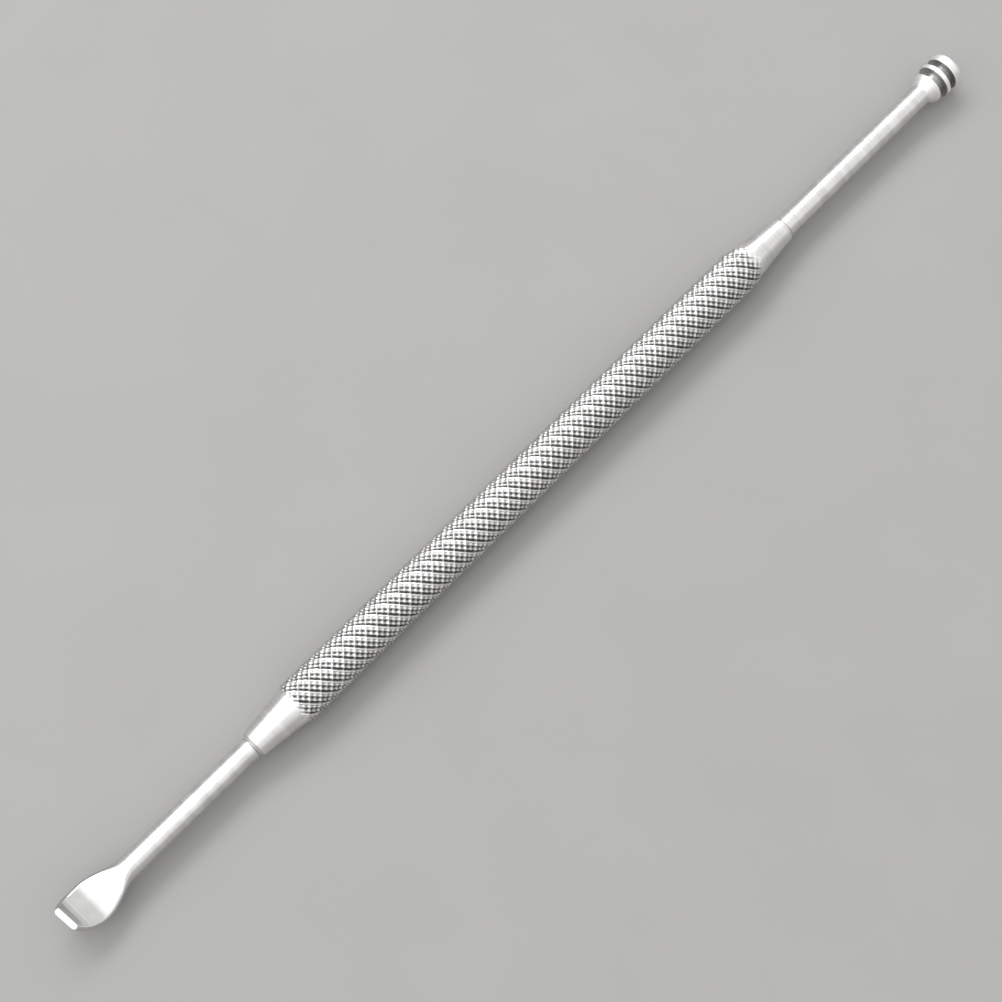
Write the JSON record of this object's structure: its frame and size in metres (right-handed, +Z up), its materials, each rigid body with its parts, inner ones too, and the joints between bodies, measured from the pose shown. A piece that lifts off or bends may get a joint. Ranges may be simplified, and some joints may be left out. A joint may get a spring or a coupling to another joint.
{
  "type": "cuticle pusher",
  "caption": "Double-ended steel cuticle and nail tool: knurled round handle, thin shanks, an upturned paddle scoop at one end and a head of turned collars at the other.",
  "frame": {"origin": "under the middle of the tool's length, on the plane the grip lies on", "axes": "+X along the tool from the scoop towards the collar head; +Z up, the way the scoop's tip turns"},
  "size_m": [0.1291, 0.0048, 0.0048],
  "materials": {
    "knurled_steel": "bright nickel-plated steel, cross-knurled grip with plain turned cones",
    "shank_steel": "satin turned stainless steel, with polished collars and blade"
  },
  "bodies": {
    "root": {"knurled_handle": "knurled_steel", "scoop_shank": "shank_steel", "ring_shank": "shank_steel"}
  },
  "joints": []
}
